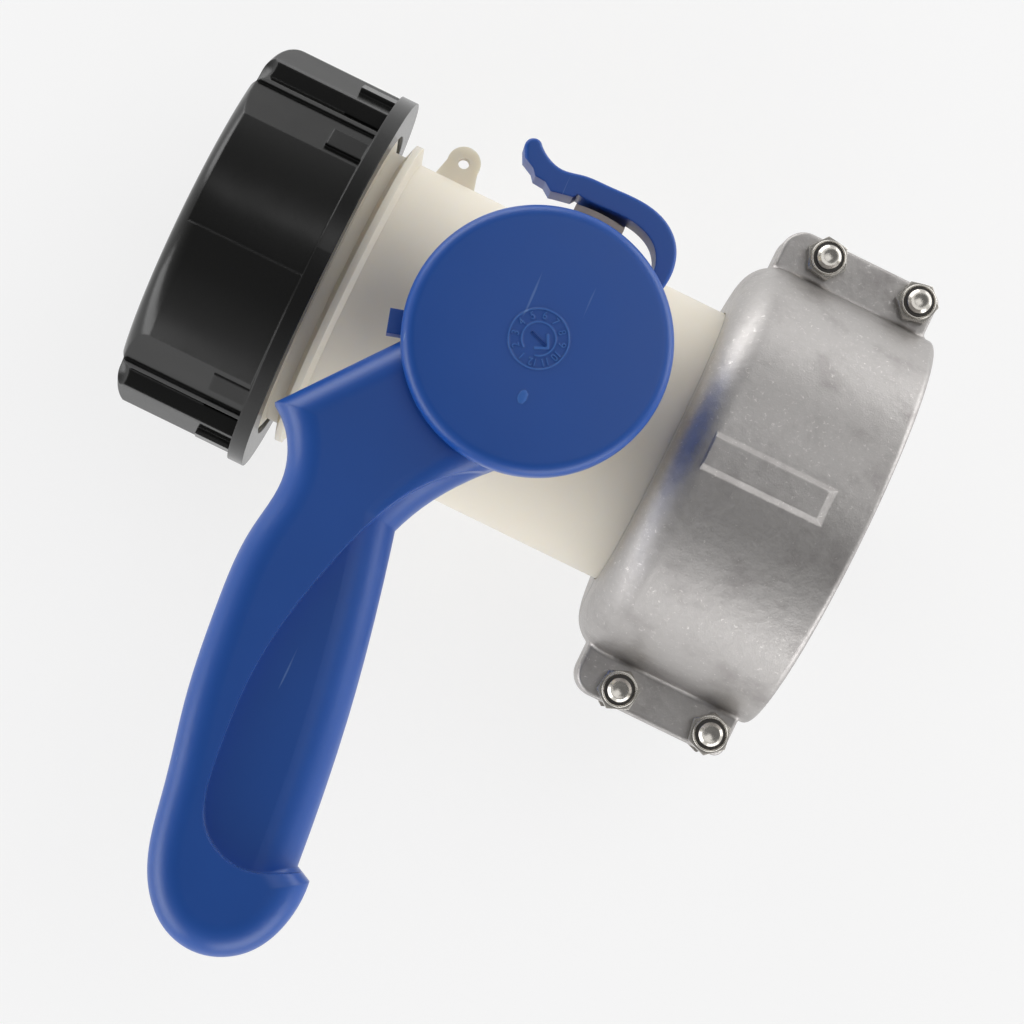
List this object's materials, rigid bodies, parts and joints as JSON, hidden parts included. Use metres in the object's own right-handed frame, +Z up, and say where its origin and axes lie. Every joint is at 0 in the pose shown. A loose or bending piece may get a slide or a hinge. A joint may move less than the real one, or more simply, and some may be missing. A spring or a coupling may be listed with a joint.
{
  "type": "ibc tank valve",
  "caption": "Quarter-turn butterfly outlet valve for a bulk container: bolted two-part inlet clamp, straight tube, side lever with spring latch, screw cap on the outlet.",
  "frame": {"origin": "centre of the clamp's mouth, on the flow axis at the tank end", "axes": "+X along the flow from the tank to the outlet, +Y towards the grip of the closed handle, +Z up the stem"},
  "size_m": [0.15, 0.1884, 0.1067],
  "materials": {
    "natural_hdpe": "translucent natural high-density polyethylene, moulded, satin",
    "keeper_steel": "plain bent strip, dull grey",
    "gasket_rubber": "black EPDM, matt",
    "bush_plastic": "turned acetal, matt",
    "cast_aluminium": "gravity die cast and tumbled, dull with a fine grain",
    "stainless_steel": "bright rolled and cold formed",
    "nut_nylon": "nylon ring of a lock nut",
    "stem_plastic": "glass-filled polypropylene",
    "natural_pp": "natural polypropylene, moulded",
    "blue_plastic": "blue polypropylene, moulded, satin",
    "black_plastic": "black polypropylene, moulded, glossy"
  },
  "bodies": {
    "valve": {"valve_body": "natural_hdpe", "latch_keeper": "keeper_steel", "flange_gasket": "gasket_rubber", "upper_stem_bush": "bush_plastic", "lower_stem_bush": "bush_plastic", "clamp_half_upper": "cast_aluminium", "clamp_half_lower": "cast_aluminium", "clamp_bolts": "stainless_steel", "clamp_nuts": "stainless_steel", "nut_inserts": "nut_nylon"},
    "handle": {"handle_lever": "blue_plastic", "handle_cover": "blue_plastic", "hub_washer": "stainless_steel", "hub_screw": "stainless_steel", "latch_pin": "stainless_steel", "stem": "stem_plastic", "stem_orings": "gasket_rubber", "butterfly_disc": "natural_pp", "butterfly_seal": "gasket_rubber", "butterfly_pins": "stainless_steel"},
    "latch": {"latch_arm": "blue_plastic"},
    "cap_seal": {"cap_gasket": "gasket_rubber"},
    "cap": {"outlet_cap": "black_plastic"}
  },
  "joints": [
    {"name": "handle_turn", "type": "hinge", "parent": "valve", "child": "handle", "pos_m": [0.075, 0, 0], "axis": [0, 0, -1], "range_deg": [0, 90]},
    {"name": "latch_pull", "type": "hinge", "parent": "handle", "child": "latch", "pos_m": [0.0604, -0.0168, 0.051], "axis": [0, 0, -1], "range_deg": [0, 12], "stiffness_Nm_per_rad": 0.3},
    {"name": "cap_lift", "type": "slide", "parent": "valve", "child": "cap_seal", "axis": [1, 0, 0], "range_m": [0, 0.012]},
    {"name": "cap_turn", "type": "hinge", "parent": "cap_seal", "child": "cap", "pos_m": [0.13, 0, 0], "axis": [1, 0, 0], "range_deg": [0, 720]}
  ],
  "couplings": [
    {"joint": "cap_lift", "follows": "cap_turn", "m_per_rad": 0.00095493}
  ]
}
